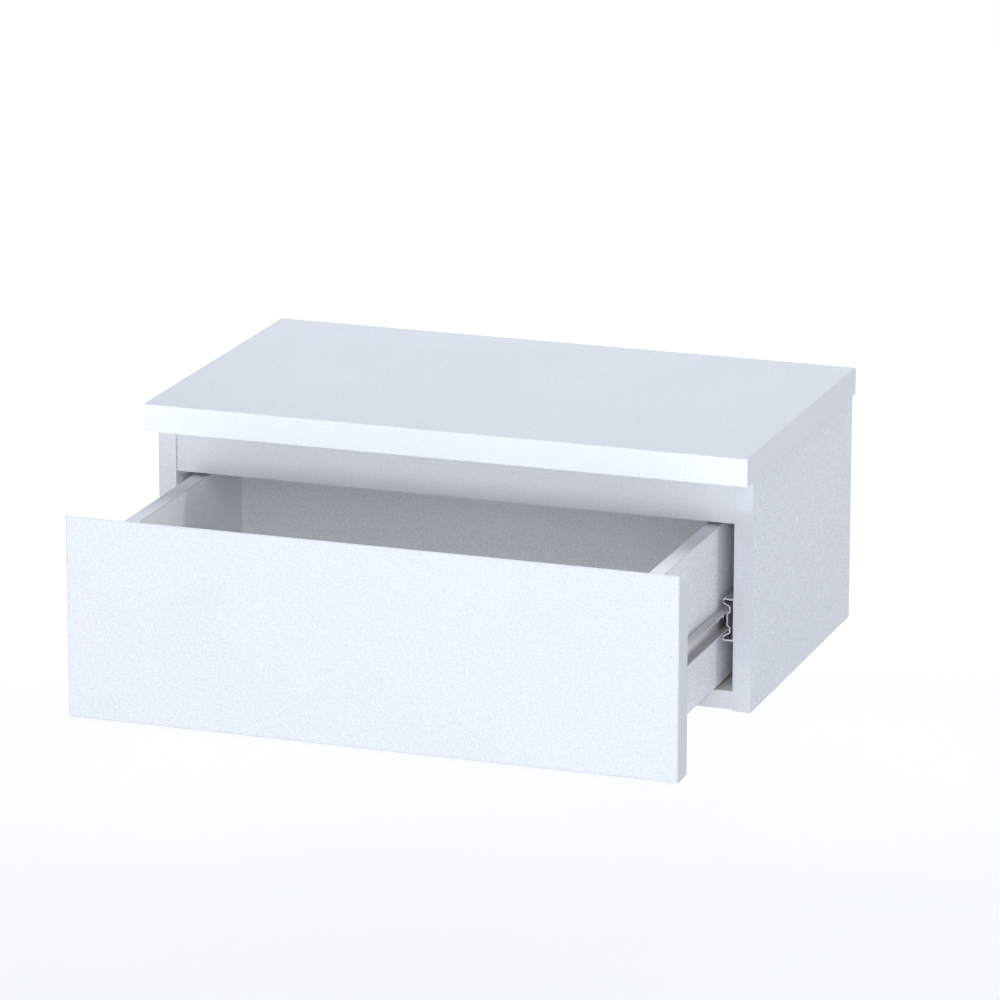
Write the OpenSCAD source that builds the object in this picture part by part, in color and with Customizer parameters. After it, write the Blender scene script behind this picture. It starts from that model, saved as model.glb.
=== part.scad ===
// Wall-hung vanity cabinet with one drawer on telescopic ball slides.
// The wall is the plane y = 0, the front faces -Y and +Z is up.
// The origin is the centre of the four wall-fixing holes.
// The drawer stands open: its rails have run out to their stops in the middle members.

/* [Carcass] */
// Width across the outsides of the two side panels
carcass_w = 495; // [420:1:900]
// Depth of the side panels, from the wall to their front edges
carcass_d = 275; // [265:1:420]
// Height of the side panels
carcass_h = 189; // [180:1:300]
// Thickness of the carcass boards
board_t = 15; // [15:0.5:19]
// Thickness of the glued edge bands
edge_t = 1; // [0.4:0.1:2]
// Distance from the side panels' front edges back to the bottom panel
bottom_recess = 4; // [1:0.5:8]
// Distance from the side panels' front edges back to the front rail
rail_recess = 2; // [0.5:0.5:8]
// Height of the front rail above the drawer opening
rail_h = 38; // [36:1:48]

/* [Top] */
// Thickness of the top panel
top_t = 22; // [19:0.5:40]
// Distance that the top reaches in front of the side panels
top_front_overhang = 25; // [25:1:60]
// Distance that the top reaches past each side panel
top_side_overhang = 2.5; // [1.5:0.5:30]

/* [Back] */
// Thickness of the back panel
back_t = 3; // [2.5:0.5:5]
// Depth of the grooves that hold the back panel
back_groove = 5; // [3:0.5:8]
// Height of the hanging rail, which carries the upper wall fixings
hanging_rail_h = 70; // [56:1:90]
// Height of the lower back rail, which carries the lower wall fixings
lower_rail_h = 50; // [40:1:70]
// Distance between the wall-fixing holes from side to side
fixing_spacing = 360; // [200:1:370]
// Diameter of the wall-fixing holes
fixing_hole_d = 7; // [5:0.5:10]

/* [Drawer front] */
// Thickness of the drawer front
front_t = 22; // [16:0.5:22]
// Height of the finger gap between the drawer front and the top
finger_gap = 26; // [20:0.5:35]
// Slope of the drawer front's upper edge, down from its face to its back, for the fingers
grip_slope = 30; // [0:1:35]
// Distance from the carcass's underside up to the drawer front's lower edge
front_raise = 1; // [0.5:0.5:10]
// Thickness of the bumpers behind the drawer front
bumper_t = 2; // [1:0.5:4]
// Diameter of the bumpers
bumper_d = 8; // [6:0.5:10]

/* [Drawer box] */
// Thickness of the drawer box's boards
box_t = 12; // [12:0.5:16]
// Gap between the drawer box and the bottom panel
box_floor_gap = 4; // [2:0.5:10]
// Gap between the drawer box and the front rail
box_head_gap = 3; // [2:0.5:10]
// Gap between the drawer box and the back panel when the drawer is shut
box_rear_gap = 5; // [3:0.5:20]
// Thickness of the drawer floor
floor_t = 3; // [3:0.5:8]
// Depth of the grooves that hold the drawer floor
floor_groove = 5; // [3:0.5:7]
// Distance from the lower edge of the drawer box up to its floor
floor_up = 10; // [6:0.5:14]

/* [Slides] */
// Height of a slide's outer member
slide_h = 35; // [33:0.5:38]
// Thickness of a slide, from the carcass side to the drawer side
slide_w = 12.7; // [12.5:0.1:14]
// Distance from the side panel's front edge back to the slide's front end
slide_setback = 3; // [1:0.5:6]
// Gap between the slide's rear end and the back panel
slide_rear_gap = 4; // [2:0.5:8]
// Distance from the lower edge of the drawer box up to the slide's centre line
slide_up = 54; // [40:1:75]
// Travel of the drawer member in the middle member
inner_travel = 162; // [145:1:170]
// Sheet thickness of the outer member
outer_t = 1.2; // [1:0.1:1.3]
// Sheet thickness of the middle member
middle_t = 1; // [0.8:0.1:1.1]
// Sheet thickness of the drawer member
inner_t = 1; // [0.8:0.1:1.2]
// Diameter of the balls
ball_d = 3.2; // [3:0.1:3.3]
// Number of balls in each row of an outer cage
outer_balls = 12; // [6:1:13]
// Number of balls in each row of an inner cage
inner_balls = 7; // [4:1:8]

/* [Fastenings] */
// Diameter of the cam housings
cam_d = 15; // [12:0.5:15]
// Depth of the cam housings in their boards
cam_h = 12; // [10:0.5:12.5]
// Distance from a board's end to the centre of its cam
cam_reach = 24; // [22:0.5:34]
// Diameter of the carcass dowels
dowel_d = 8; // [6:0.5:8]
// Length of the carcass dowels
dowel_l = 30; // [25:1:35]
// Diameter of the drawer box's dowels
box_dowel_d = 6; // [5:0.5:6]
// Length of the drawer box's dowels
box_dowel_l = 20; // [16:1:24]
// Distance between the two columns of screws that hold the drawer front
front_screw_spacing = 300; // [200:1:340]
// Diameter of the screws that hold the drawer front
front_screw_d = 4; // [3:0.5:5]
// Length of the screws that hold the drawer front
front_screw_l = 25; // [22:1:26]

/* [Hidden] */
$fn = 48;

board_white = [0.93, 0.95, 0.97];
inside_white = [0.88, 0.90, 0.92];
edge_white = [0.95, 0.97, 0.99];
zinc_grey = [0.70, 0.72, 0.74];
steel_grey = [0.55, 0.57, 0.60];
rubber_black = [0.08, 0.08, 0.09];
bumper_clear = [0.85, 0.87, 0.88];
beech = [0.80, 0.66, 0.45];

// Clearances
slip = 0.05; // around a screw, dowel, cam or bolt in its own hole
groove_play = 0.1; // each side of a panel in its groove
groove_end_play = 0.2; // between a panel's edge and its groove's floor
run_gap = 0.05; // between a ball and its raceway
strip_gap = 0.15; // between a ball cage and the middle member
bumper_play = 0.05; // between the bumpers and the side panels when shut
hole_end_play = 0.5; // past the end of a dowel or screw
over = 1; // how far a cut runs past the face that it opens

// Carcass
inner_x = carcass_w / 2 - board_t;
front_y = -carcass_d;
bottom_y = front_y + bottom_recess;
rail_y = front_y + rail_recess;
inside_back_y = -board_t - back_t;
rail_z = carcass_h - rail_h;
upper_fixing_z = carcass_h - hanging_rail_h / 2;
lower_fixing_z = board_t + lower_rail_h / 2;
origin_z = (upper_fixing_z + lower_fixing_z) / 2;

// Top and drawer front
top_w = carcass_w + 2 * top_side_overhang;
top_d = carcass_d + top_front_overhang;
front_w = carcass_w;
front_top_z = carcass_h - finger_gap;
front_back_y = front_y - bumper_t - bumper_play;
front_face_y = front_back_y - front_t;
grip_drop = front_t * tan(grip_slope);
grip_band_rise = edge_t / cos(grip_slope); // height that the band takes up on the slope

// Drawer box
box_w = 2 * (inner_x - slide_w);
box_l = inside_back_y - box_rear_gap - front_back_y;
box_z = board_t + box_floor_gap;
box_h = rail_z - box_head_gap - box_z;
box_in_w = box_w - 2 * box_t;
floor_z = box_z + floor_up;
box_back_y = front_back_y + box_l;
bumper_x = carcass_w / 2 - board_t / 2;
bumper_inset = 12; // from the upper and lower edges of the drawer front's back
bumper_zs = [front_raise + bumper_inset, front_top_z - grip_drop - bumper_inset];
front_screw_inset = 35; // from the drawer box's upper and lower edges
front_screw_zs = [box_z + front_screw_inset, box_z + box_h - front_screw_inset];

// Slides: u is the distance from the side panel and w the height from the centre line
slide_l = carcass_d - slide_setback + inside_back_y - slide_rear_gap;
slide_y = front_y + slide_setback;
slide_z = box_z + slide_up;
stop_l = 4;
stop_play = 2;
stop_h = 11;
stop_w = 7;
member_l = slide_l - stop_l - stop_play;
middle_travel = slide_l - inner_travel;
ball_r = ball_d / 2;
outer_ball_u = 7;
inner_ball_u = 5.85;
arc_step = 8; // degrees of arc to each flat of a raceway or a bend
outer_race_r = ball_r + run_gap + outer_t / 2;
middle_race_r = ball_r + run_gap + middle_t / 2;
inner_race_r = ball_r + run_gap + inner_t / 2;
outer_ball_w = slide_h / 2 - outer_t / 2 - outer_race_r;
ball_row_du = inner_ball_u - outer_ball_u;
ball_row_dw = -5.15;
inner_ball_w = outer_ball_w + ball_row_dw;
ball_row_d = norm([ball_row_du, ball_row_dw]);
row_angle = atan2(ball_row_dw, ball_row_du) + acos(2 * middle_race_r / ball_row_d); // where the raceways part
lip_angle = 20;
outer_dip_angle = 125;
inner_rise = 0.85; // from the floor of the drawer member's raceway up to its flange
bend_r = 1; // radius of a sheet-metal bend, along the middle of the sheet
bead_depth = 2.1; // the middle member's web steps toward the drawer along its centre line
middle_web_u = inner_ball_u - middle_race_r;
middle_bead_u = middle_web_u + bead_depth;
bead_foot_drop = 3.3; // from the inner row of balls to the foot of the bead
bead_rise = 1.6; // height over which the web steps across
bead_foot_w = inner_ball_w - bead_foot_drop;
bead_top_w = bead_foot_w - bead_rise;
cage_t = 0.4;
cage_offset = middle_t / 2 + strip_gap + cage_t / 2;
cage_ball_play = 0.08;
cage_lip = 0.55;
outer_ball_pitch = 10.5;
inner_ball_pitch = 9.6;
cage_end = 3.5;
outer_cage_l = (outer_balls - 1) * outer_ball_pitch + ball_d + 2 * cage_end;
inner_cage_l = (inner_balls - 1) * inner_ball_pitch + ball_d + 2 * cage_end;
outer_cage_margin = 12; // from the middle member's front end to its cage at full travel
inner_cage_margin = 3;
member_screw_inset = 30;
slot_step = 32; // from a screw back to the spare slot beside it
outer_screws = [member_screw_inset, slide_l / 2, slide_l - member_screw_inset];
inner_screw_share = 0.7; // of a drawer member's length, from its front end back to its middle screw
inner_screws = [member_screw_inset, member_l * inner_screw_share, member_l - member_screw_inset];
spare_slots = [member_screw_inset + slot_step, slide_l / 2 + slot_step];
access_holes = [member_screw_inset, member_l / 2];
access_hole_d = 7;
slot_l = 8;
slot_d = 4.5;

// Screws of the slides: [shank diameter, shank length, head diameter, head height]
carcass_screw = [5, 12, 6.4, 1.4];
drawer_screw = [3.5, 10, 6, 1.8];
front_screw_head_d = 8;
front_screw_head_h = 2.4;
screw_hole_play = 0.2;
drive_w = 0.8;
drive_depth = 0.9;
drive_rim = 1.2; // from the ends of a drive recess out to the edge of its head

// Cam bolt: thread in the side panel, then shank, neck and head on the way to the cam
bolt_thread_d = 5;
bolt_thread_l = 11;
bolt_shank_d = 6.5;
bolt_neck_d = 4;
bolt_neck_l = 4.5;
bolt_head_d = 6.5;
bolt_head_l = 2.5;
bolt_hole_d = 8;
bolt_shank_l = cam_reach - bolt_neck_l - bolt_head_l / 2;
cam_pocket_d = 7.4;
cam_drive_span = 8;

// Joints of the boards: [point on the joint, direction into the drilled board, direction of the cam's face]
front_joint_y = bottom_y + 37;
rear_joint_y = -50;
dowel_step = 32; // from a cam along a panel to the dowel beside it
rail_bolt_drop = 14; // from the front rail's upper edge down to its bolts
rail_dowel_rise = 8; // from the front rail's lower edge up to its dowels
hanging_dowel_step = 20; // from the hanging rail's centre line to its dowels
lower_dowel_step = 13; // from the lower rail's centre line to its dowels
bottom_joints = [for (y = [front_joint_y, rear_joint_y]) [[inner_x, y, board_t / 2], [-1, 0, 0], [0, 0, -1]]];
rail_joints = [[[inner_x, rail_y + board_t / 2, carcass_h - rail_bolt_drop], [-1, 0, 0], [0, 1, 0]]];
hanging_joints = [[[inner_x, -board_t / 2, upper_fixing_z], [-1, 0, 0], [0, 1, 0]]];
lower_joints = [[[inner_x, -board_t / 2, lower_fixing_z], [-1, 0, 0], [0, 1, 0]]];
top_joints = [for (y = [front_joint_y, rear_joint_y])
    [[carcass_w / 2 - board_t / 2, y, carcass_h], [0, 0, -1], [-1, 0, 0]]];
side_joints = concat(bottom_joints, rail_joints, hanging_joints, lower_joints);
bottom_dowels = [for (y = [front_joint_y + dowel_step, rear_joint_y - dowel_step])
    [[inner_x, y, board_t / 2], [-1, 0, 0], [0, 0, -1]]];
rail_dowels = [[[inner_x, rail_y + board_t / 2, rail_z + rail_dowel_rise], [-1, 0, 0], [0, 1, 0]]];
hanging_dowels = [for (dz = [-hanging_dowel_step, hanging_dowel_step])
    [[inner_x, -board_t / 2, upper_fixing_z + dz], [-1, 0, 0], [0, 1, 0]]];
lower_dowels = [for (dz = [-lower_dowel_step, lower_dowel_step])
    [[inner_x, -board_t / 2, lower_fixing_z + dz], [-1, 0, 0], [0, 1, 0]]];
top_dowels = [for (y = [front_joint_y + dowel_step, rear_joint_y - dowel_step])
    [[carcass_w / 2 - board_t / 2, y, carcass_h], [0, 0, -1], [-1, 0, 0]]];
side_dowels = concat(bottom_dowels, rail_dowels, hanging_dowels, lower_dowels);
dowel_bite = 11; // length of a carcass dowel in the side panel or the top
box_dowel_bite = 8; // length of a drawer dowel in a drawer side
box_dowel_inset = 30; // from the drawer box's upper and lower edges
box_dowel_zs = [box_z + box_dowel_inset, box_z + box_h - box_dowel_inset];
box_dowels = [for (y = [front_back_y + box_t / 2, box_back_y - box_t / 2], z = box_dowel_zs)
    [[box_in_w / 2, y, z], [-1, 0, 0], [0, 0, 1]]];

// ---------- placing ----------

// Puts a piece that is drawn from the carcass's underside into the part's frame
module in_carcass(tint) {
    translate([0, 0, -origin_z]) color(tint) children();
}

// The same for a piece that rides on the drawer
module in_drawer(tint) {
    translate([0, -inner_travel, 0]) in_carcass(tint) children();
}

// Draws a right-hand piece, or its mirror image for the left side
module on_side(side) {
    if (side == "left") mirror([1, 0, 0]) children();
    else children();
}

module both_sides() {
    for (side = ["left", "right"]) on_side(side) children();
}

// Frame of a joint: local +Z runs into the drilled board and local +X is the way its cam faces
module at_joint(joint) {
    p = joint[0];
    a = joint[1];
    f = joint[2];
    g = cross(a, f);
    multmatrix([[f[0], g[0], a[0], p[0]], [f[1], g[1], a[1], p[1]], [f[2], g[2], a[2], p[2]], [0, 0, 0, 1]])
        children();
}

// A block from its lowest to its highest corner
module block(low, high) {
    translate(low) cube(high - low);
}

// A cylinder along X, from x0 to x1
module rod_x(d, x0, x1) {
    translate([x0, 0, 0]) rotate([0, 90, 0]) cylinder(d = d, h = x1 - x0);
}

// A cylinder along Y, from y0 to y1
module rod_y(d, y0, y1) {
    translate([0, y0, 0]) rotate([-90, 0, 0]) cylinder(d = d, h = y1 - y0);
}

// ---------- joints and fastenings ----------

// What a joint removes from the board that holds the thread of its bolt
module thread_hole(joint) {
    at_joint(joint) translate([0, 0, -bolt_thread_l - hole_end_play])
        cylinder(d = bolt_thread_d + 2 * slip, h = bolt_thread_l + hole_end_play + over);
}

// What a joint removes from the board that holds its cam
module cam_hole(joint) {
    at_joint(joint) {
        translate([0, 0, -over]) cylinder(d = bolt_hole_d, h = cam_reach + over);
        translate([0, 0, cam_reach])
            rod_x(cam_d + 2 * slip, board_t / 2 - cam_h - slip, board_t / 2 + over);
    }
}

module dowel_hole(joint) {
    at_joint(joint) translate([0, 0, -dowel_bite - hole_end_play])
        cylinder(d = dowel_d + 2 * slip, h = dowel_l + 2 * hole_end_play);
}

module box_dowel_hole(joint) {
    at_joint(joint) translate([0, 0, -box_dowel_bite - hole_end_play])
        cylinder(d = box_dowel_d + 2 * slip, h = box_dowel_l + 2 * hole_end_play);
}

// Cross-shaped drive recess in a face at x = 0 that looks along +X
module drive_cross(span) {
    for (turn = [0, 90]) rotate([turn, 0, 0])
        block([-drive_depth, -drive_w / 2, -span / 2], [over, drive_w / 2, span / 2]);
}

module cam(joint) {
    at_joint(joint) difference() {
        translate([0, 0, cam_reach]) rod_x(cam_d, board_t / 2 - cam_h, board_t / 2);
        translate([0, 0, cam_reach - cam_d]) cylinder(d = cam_pocket_d, h = cam_d + bolt_head_l);
        translate([board_t / 2, 0, cam_reach]) drive_cross(cam_drive_span);
    }
}

module cam_bolt(joint) {
    at_joint(joint) {
        translate([0, 0, -bolt_thread_l]) cylinder(d = bolt_thread_d, h = bolt_thread_l);
        cylinder(d = bolt_shank_d, h = bolt_shank_l);
        translate([0, 0, bolt_shank_l]) cylinder(d = bolt_neck_d, h = bolt_neck_l);
        translate([0, 0, bolt_shank_l + bolt_neck_l]) cylinder(d = bolt_head_d, h = bolt_head_l);
    }
}

module dowel(joint, d, l, bite) {
    at_joint(joint) translate([0, 0, -bite]) cylinder(d = d, h = l);
}

// A pan-head screw along X: its head's underside is at x = 0 and its shank runs to +X
module screw_x(shank_d, shank_l, head_d, head_h) {
    difference() {
        union() {
            rod_x(shank_d, 0, shank_l);
            rod_x(head_d, -head_h, 0);
        }
        translate([-head_h, 0, 0]) mirror([1, 0, 0]) drive_cross(head_d - 2 * drive_rim);
    }
}

// ---------- carcass ----------

module top_panel() {
    in_carcass(board_white) difference() {
        block([-top_w / 2 + edge_t, -top_d + edge_t, carcass_h], [top_w / 2 - edge_t, 0, carcass_h + top_t]);
        both_sides() {
            for (joint = top_joints) thread_hole(joint);
            for (joint = top_dowels) dowel_hole(joint);
        }
    }
}

module top_edge_band() {
    in_carcass(edge_white) {
        block([-top_w / 2, -top_d, carcass_h], [top_w / 2, -top_d + edge_t, carcass_h + top_t]);
        both_sides()
            block([top_w / 2 - edge_t, -top_d + edge_t, carcass_h], [top_w / 2, 0, carcass_h + top_t]);
    }
}

module side_panel(side) {
    in_carcass(board_white) on_side(side) difference() {
        block([inner_x, front_y + edge_t, edge_t], [carcass_w / 2, 0, carcass_h]);
        block([inner_x - over, inside_back_y - groove_play, edge_t - over],
              [inner_x + back_groove, -board_t + groove_play, carcass_h + over]);
        for (joint = side_joints) thread_hole(joint);
        for (joint = top_joints) cam_hole(joint);
        for (joint = concat(side_dowels, top_dowels)) dowel_hole(joint);
        for (y = outer_screws) translate([inner_x - over, slide_y + y, slide_z])
            rod_x(carcass_screw[0] + 2 * slip, 0, over + carcass_screw[1] + hole_end_play);
    }
}

module side_edge_bands() {
    in_carcass(edge_white) both_sides() {
        block([inner_x, front_y, 0], [carcass_w / 2, front_y + edge_t, carcass_h]);
        block([inner_x, front_y + edge_t, 0], [carcass_w / 2, 0, edge_t]);
    }
}

module bottom_panel() {
    in_carcass(board_white) difference() {
        block([-inner_x, bottom_y + edge_t, 0], [inner_x, 0, board_t]);
        block([-inner_x - over, inside_back_y - groove_play, board_t - back_groove],
              [inner_x + over, -board_t + groove_play, board_t + over]);
        both_sides() {
            for (joint = bottom_joints) cam_hole(joint);
            for (joint = bottom_dowels) dowel_hole(joint);
        }
    }
}

module bottom_edge_band() {
    in_carcass(edge_white) block([-inner_x, bottom_y, 0], [inner_x, bottom_y + edge_t, board_t]);
}

module front_rail() {
    in_carcass(board_white) difference() {
        block([-inner_x, rail_y, rail_z + edge_t], [inner_x, rail_y + board_t, carcass_h]);
        both_sides() {
            for (joint = rail_joints) cam_hole(joint);
            for (joint = rail_dowels) dowel_hole(joint);
        }
    }
}

module front_rail_edge_band() {
    in_carcass(edge_white)
        block([-inner_x, rail_y, rail_z], [inner_x, rail_y + board_t, rail_z + edge_t]);
}

// A back rail between two heights, with its two wall-fixing holes
module back_rail(z0, z1, fixing_z, joints, dowels) {
    in_carcass(board_white) difference() {
        block([-inner_x, -board_t, z0], [inner_x, 0, z1]);
        both_sides() {
            for (joint = joints) cam_hole(joint);
            for (joint = dowels) dowel_hole(joint);
            translate([fixing_spacing / 2, 0, fixing_z]) rod_y(fixing_hole_d, -board_t - over, over);
        }
    }
}

module hanging_rail() {
    back_rail(carcass_h - hanging_rail_h, carcass_h, upper_fixing_z, hanging_joints, hanging_dowels);
}

module lower_back_rail() {
    back_rail(board_t, board_t + lower_rail_h, lower_fixing_z, lower_joints, lower_dowels);
}

module back_panel() {
    edge_x = inner_x + back_groove - groove_end_play;
    edge_z = board_t - back_groove + groove_end_play;
    in_carcass(inside_white) difference() {
        block([-edge_x, inside_back_y, edge_z], [edge_x, -board_t, carcass_h]);
        for (z = [lower_fixing_z, upper_fixing_z]) both_sides()
            translate([fixing_spacing / 2, 0, z]) rod_y(fixing_hole_d, inside_back_y - over, -board_t + over);
    }
}

module cam_housings() {
    in_carcass(zinc_grey) both_sides() for (joint = concat(side_joints, top_joints)) cam(joint);
}

module cam_bolts() {
    in_carcass(zinc_grey) both_sides() for (joint = concat(side_joints, top_joints)) cam_bolt(joint);
}

module carcass_dowels() {
    in_carcass(beech) both_sides()
        for (joint = concat(side_dowels, top_dowels)) dowel(joint, dowel_d, dowel_l, dowel_bite);
}

// ---------- slide profiles ----------

// Points of an arc about c, from angle a0 to a1, with a flat for every arc_step degrees
function arc(c, r, a0, a1) =
    let (n = ceil(abs(a1 - a0) / arc_step))
    [for (i = [0:n]) let (a = a0 + (a1 - a0) * i / n) c + r * [cos(a), sin(a)]];

function left_normal(a, b) = let (d = (b - a) / norm(b - a)) [-d[1], d[0]];

// The mitre at point i of a path: the step that keeps both neighbouring flats one unit away
function mitre(path, i) =
    let (last = len(path) - 1,
         n0 = i > 0 ? left_normal(path[i - 1], path[i]) : left_normal(path[0], path[1]),
         n1 = i < last ? left_normal(path[i], path[i + 1]) : n0)
    (n0 + n1) / (1 + n0 * n1);

function shifted(path, d) = [for (i = [0:len(path) - 1]) path[i] + d * mitre(path, i)];

function reversed(path) = [for (i = [len(path) - 1:-1:0]) path[i]];

// A path from its upper half, which is repeated below the centre line
function whole(half) = concat(half, [for (p = reversed(half)) [p[0], -p[1]]]);

// The outline of a sheet of thickness t that follows a path
function sheet(path, t) = concat(shifted(path, t / 2), reversed(shifted(path, -t / 2)));

outer_flange_w = outer_ball_w + outer_race_r * sin(outer_dip_angle);
outer_half = concat(
    arc([outer_ball_u, outer_ball_w], outer_race_r, lip_angle, outer_dip_angle),
    arc([outer_t / 2 + bend_r, outer_flange_w - bend_r], bend_r, 90, 180));

middle_web = [[middle_web_u, bead_foot_w], [middle_bead_u, bead_top_w]];
middle_half = concat(
    arc([outer_ball_u, outer_ball_w], middle_race_r, -lip_angle, row_angle),
    arc([inner_ball_u, inner_ball_w], middle_race_r, row_angle + 180, 180),
    middle_web);

inner_flange_w = inner_ball_w - inner_race_r + inner_rise;
inner_web_u = slide_w - inner_t / 2;
inner_half = concat(
    arc([inner_ball_u, inner_ball_w], inner_race_r, -90 - lip_angle,
        -90 + acos((inner_ball_w - inner_flange_w) / inner_race_r)),
    arc([inner_web_u - bend_r, inner_flange_w - bend_r], bend_r, 90, 0));

// A cage follows one face of the middle member's web and turns out to its rows of balls
function cage_half(ball_u, ball_w, offset) =
    let (web = shifted(whole(concat([[middle_web_u, ball_w]], middle_web)), offset))
    [[ball_u + ball_r + cage_lip, ball_w], web[0], web[1], web[2]];

outer_cage_half = cage_half(outer_ball_u, outer_ball_w, -cage_offset);
inner_cage_half = cage_half(inner_ball_u, inner_ball_w, cage_offset);

// Draws a profile in u and w as a bar of the right-hand slide, from y0 back over a length
module bar(outline, y0, length) {
    translate([inner_x, y0 + length, slide_z]) rotate([90, 0, 0]) mirror([1, 0, 0])
        linear_extrude(length) polygon(outline);
}

// Round hole or slot along X through the web of a right-hand member, centred y back from its front end
module web_hole(y0, y, u, t, d, length) {
    translate([inner_x - u, y0 + y, slide_z]) {
        for (end = [-1, 1]) translate([0, end * (length - d) / 2, 0]) rod_x(d, -t, t);
        if (length > d) block([-t, -(length - d) / 2, -d / 2], [t, (length - d) / 2, d / 2]);
    }
}

module balls(ball_u, ball_w, y0, count, pitch, extra) {
    for (i = [0:count - 1], up = [-1, 1])
        translate([inner_x - ball_u, y0 + cage_end + ball_r + i * pitch, slide_z + up * ball_w])
            sphere(r = ball_r + extra);
}

// ---------- slides ----------

outer_cage_y = slide_y + outer_cage_margin + middle_travel / 2;
inner_cage_y = slide_y + inner_cage_margin;

module slide_outer(side) {
    in_carcass(steel_grey) on_side(side) difference() {
        bar(sheet(whole(outer_half), outer_t), slide_y, slide_l);
        for (y = outer_screws)
            web_hole(slide_y, y, outer_t / 2, outer_t, carcass_screw[0] + screw_hole_play,
                     carcass_screw[0] + screw_hole_play);
        for (y = spare_slots) web_hole(slide_y, y, outer_t / 2, outer_t, slot_d, slot_l);
    }
}

module slide_middle(side) {
    in_carcass(steel_grey) on_side(side) difference() {
        bar(sheet(whole(middle_half), middle_t), slide_y, member_l);
        for (y = access_holes) web_hole(slide_y, y, middle_bead_u, middle_t, access_hole_d, access_hole_d);
    }
}

module slide_inner(side) {
    in_drawer(steel_grey) on_side(side) difference() {
        bar(sheet(whole(inner_half), inner_t), slide_y, member_l);
        for (y = inner_screws)
            web_hole(slide_y, y, inner_web_u, inner_t, drawer_screw[0] + screw_hole_play,
                     drawer_screw[0] + screw_hole_play);
        for (y = spare_slots) web_hole(slide_y, y, inner_web_u, inner_t, slot_d, slot_l);
    }
}

module ball_cage(side, half, ball_u, ball_w, y0, length, count, pitch) {
    in_carcass(zinc_grey) on_side(side) difference() {
        bar(sheet(whole(half), cage_t), y0, length);
        balls(ball_u, ball_w, y0, count, pitch, cage_ball_play);
    }
}

module outer_ball_cage(side) {
    ball_cage(side, outer_cage_half, outer_ball_u, outer_ball_w, outer_cage_y, outer_cage_l,
              outer_balls, outer_ball_pitch);
}

module inner_ball_cage(side) {
    ball_cage(side, inner_cage_half, inner_ball_u, inner_ball_w, inner_cage_y, inner_cage_l,
              inner_balls, inner_ball_pitch);
}

module outer_ball_set(side) {
    in_carcass(steel_grey) on_side(side)
        balls(outer_ball_u, outer_ball_w, outer_cage_y, outer_balls, outer_ball_pitch, 0);
}

module inner_ball_set(side) {
    in_carcass(steel_grey) on_side(side)
        balls(inner_ball_u, inner_ball_w, inner_cage_y, inner_balls, inner_ball_pitch, 0);
}

module slide_rear_stops() {
    in_carcass(rubber_black) both_sides()
        block([inner_x - outer_t - stop_w, slide_y + slide_l - stop_l, slide_z - stop_h / 2],
              [inner_x - outer_t, slide_y + slide_l, slide_z + stop_h / 2]);
}

module slide_carcass_screws() {
    in_carcass(zinc_grey) both_sides() for (y = outer_screws)
        translate([inner_x - outer_t, slide_y + y, slide_z])
            screw_x(carcass_screw[0], carcass_screw[1], carcass_screw[2], carcass_screw[3]);
}

module slide_drawer_screws() {
    in_drawer(zinc_grey) both_sides() for (y = inner_screws)
        translate([box_w / 2 + inner_t, slide_y + y, slide_z]) mirror([1, 0, 0])
            screw_x(drawer_screw[0], drawer_screw[1], drawer_screw[2], drawer_screw[3]);
}

// ---------- drawer ----------

module front_screw_places() {
    for (x = [-1, 1], z = front_screw_zs)
        translate([x * front_screw_spacing / 2, front_back_y + box_t, z]) rotate([0, 0, -90]) children();
}

// A slab from x0 to x1 between two lines that run from the drawer front's face to its back.
// Each line is given by its height at the face and its height at the back.
module front_slab(x0, x1, low, high) {
    translate([x0, 0, 0]) rotate([90, 0, 90]) linear_extrude(x1 - x0)
        polygon([[front_face_y, low[0]], [front_back_y, low[1]],
                 [front_back_y, high[1]], [front_face_y, high[0]]]);
}

front_foot = [front_raise, front_raise]; // underside of the lower band
front_brow = [front_top_z, front_top_z - grip_drop]; // upper face of the sloping band
front_core_low = front_foot + [edge_t, edge_t];
front_core_high = front_brow - [grip_band_rise, grip_band_rise];

module drawer_front() {
    in_drawer(board_white) difference() {
        front_slab(-front_w / 2 + edge_t, front_w / 2 - edge_t, front_core_low, front_core_high);
        front_screw_places() rod_x(front_screw_d + 2 * slip, 0, front_screw_l + hole_end_play);
    }
}

module drawer_front_edge_band() {
    in_drawer(edge_white) {
        front_slab(-front_w / 2, front_w / 2, front_foot, front_core_low);
        front_slab(-front_w / 2, front_w / 2, front_core_high, front_brow);
        both_sides() front_slab(front_w / 2 - edge_t, front_w / 2, front_core_low, front_core_high);
    }
}

// The groove that runs round the inside of the drawer box and holds its floor
module floor_slot() {
    block([-box_in_w / 2 - floor_groove, front_back_y + box_t - floor_groove, floor_z - groove_play],
          [box_in_w / 2 + floor_groove, box_back_y - box_t + floor_groove, floor_z + floor_t + groove_play]);
}

module drawer_side(side) {
    in_drawer(inside_white) on_side(side) difference() {
        block([box_in_w / 2, front_back_y, box_z], [box_w / 2, box_back_y, box_z + box_h - edge_t]);
        floor_slot();
        for (joint = box_dowels) box_dowel_hole(joint);
        for (y = inner_screws) translate([box_w / 2 + over, slide_y + y, slide_z]) mirror([1, 0, 0])
            rod_x(drawer_screw[0] + 2 * slip, 0, over + drawer_screw[1] + hole_end_play);
    }
}

// The board across one end of the drawer box, from y0 back
module box_end(y0) {
    in_drawer(inside_white) difference() {
        block([-box_in_w / 2, y0, box_z], [box_in_w / 2, y0 + box_t, box_z + box_h - edge_t]);
        floor_slot();
        both_sides() for (joint = box_dowels) box_dowel_hole(joint);
        if (y0 == front_back_y) front_screw_places()
            rod_x(front_screw_d + screw_hole_play, -over, front_screw_l);
    }
}

module drawer_sub_front() {
    box_end(front_back_y);
}

module drawer_back() {
    box_end(box_back_y - box_t);
}

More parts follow.
